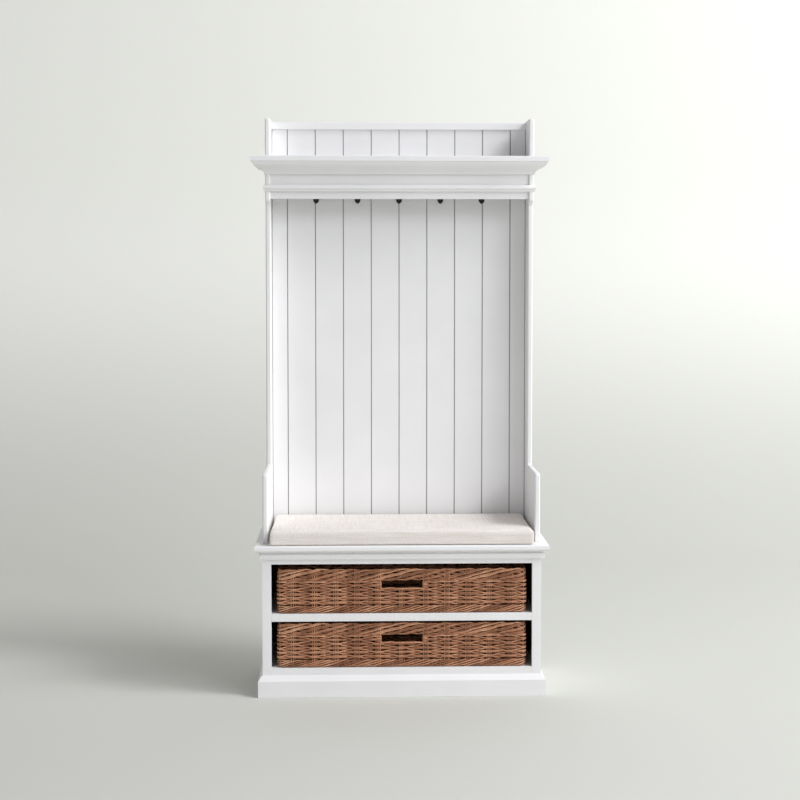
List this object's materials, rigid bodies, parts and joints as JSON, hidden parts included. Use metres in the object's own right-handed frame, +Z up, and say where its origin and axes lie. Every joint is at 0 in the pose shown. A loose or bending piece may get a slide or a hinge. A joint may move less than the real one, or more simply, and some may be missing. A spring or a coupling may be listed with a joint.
{
  "type": "hall tree with hooks",
  "caption": "Tall entryway unit: bench with a cushion over two sliding woven baskets, boarded back, coat hooks behind a pelmet, and a shelf over a cornice.",
  "frame": {"origin": "middle of the footprint of the whole object's bounding box, on the floor", "axes": "+X to the right as seen from the front, +Y from the front to the back (the wall), +Z up"},
  "size_m": [1.052, 0.4, 2],
  "materials": {
    "painted_wood": "satin white paint over close-grained wood",
    "rattan": "woven brown rattan, lightly stained",
    "linen": "off-white woven linen over foam",
    "black_iron": "matt black",
    "zinc_steel": "zinc plated"
  },
  "bodies": {
    "cabinet": {"astragal_front": "painted_wood", "astragal_left": "painted_wood", "astragal_right": "painted_wood", "back_board_01": "painted_wood", "back_board_02": "painted_wood", "back_board_03": "painted_wood", "back_board_04": "painted_wood", "back_board_05": "painted_wood", "back_board_06": "painted_wood", "back_board_07": "painted_wood", "back_board_08": "painted_wood", "back_board_09": "painted_wood", "back_board_10": "painted_wood", "bed_moulding_front": "painted_wood", "bed_moulding_left": "painted_wood", "bed_moulding_right": "painted_wood", "bench_bolts": "zinc_steel", "bench_top": "painted_wood", "bottom_board": "painted_wood", "bottom_rail": "painted_wood", "cabinet_back_panel": "painted_wood", "cabinet_side_left": "painted_wood", "cabinet_side_right": "painted_wood", "cap_rail": "painted_wood", "coat_hook_1": "black_iron", "coat_hook_2": "black_iron", "coat_hook_3": "black_iron", "coat_hook_4": "black_iron", "coat_hook_5": "black_iron", "cornice_backing_rail": "painted_wood", "cornice_front": "painted_wood", "cornice_left": "painted_wood", "cornice_right": "painted_wood", "frieze_board": "painted_wood", "hook_screws": "black_iron", "middle_rail": "painted_wood", "middle_shelf": "painted_wood", "plinth_back_rail": "painted_wood", "plinth_corner_blocks": "painted_wood", "plinth_front": "painted_wood", "plinth_left": "painted_wood", "plinth_right": "painted_wood", "shelf_cleats": "painted_wood", "stile_left": "painted_wood", "stile_right": "painted_wood", "top_rail": "painted_wood", "top_shelf": "painted_wood", "upright_left": "painted_wood", "upright_right": "painted_wood"},
    "basket_upper": {"basket_upper_base": "rattan", "basket_upper_border": "rattan", "basket_upper_walls": "rattan"},
    "basket_lower": {"basket_lower_base": "rattan", "basket_lower_border": "rattan", "basket_lower_walls": "rattan"},
    "cushion": {"seat_cushion": "linen"}
  },
  "joints": [
    {"name": "basket_upper_slide", "type": "slide", "parent": "cabinet", "child": "basket_upper", "axis": [0, -1, 0], "range_m": [0, 0.3]},
    {"name": "basket_lower_slide", "type": "slide", "parent": "cabinet", "child": "basket_lower", "axis": [0, -1, 0], "range_m": [0, 0.3]},
    {"name": "cushion_lift", "type": "slide", "parent": "cabinet", "child": "cushion", "axis": [0, 0, 1], "range_m": [0, 0.25]}
  ]
}
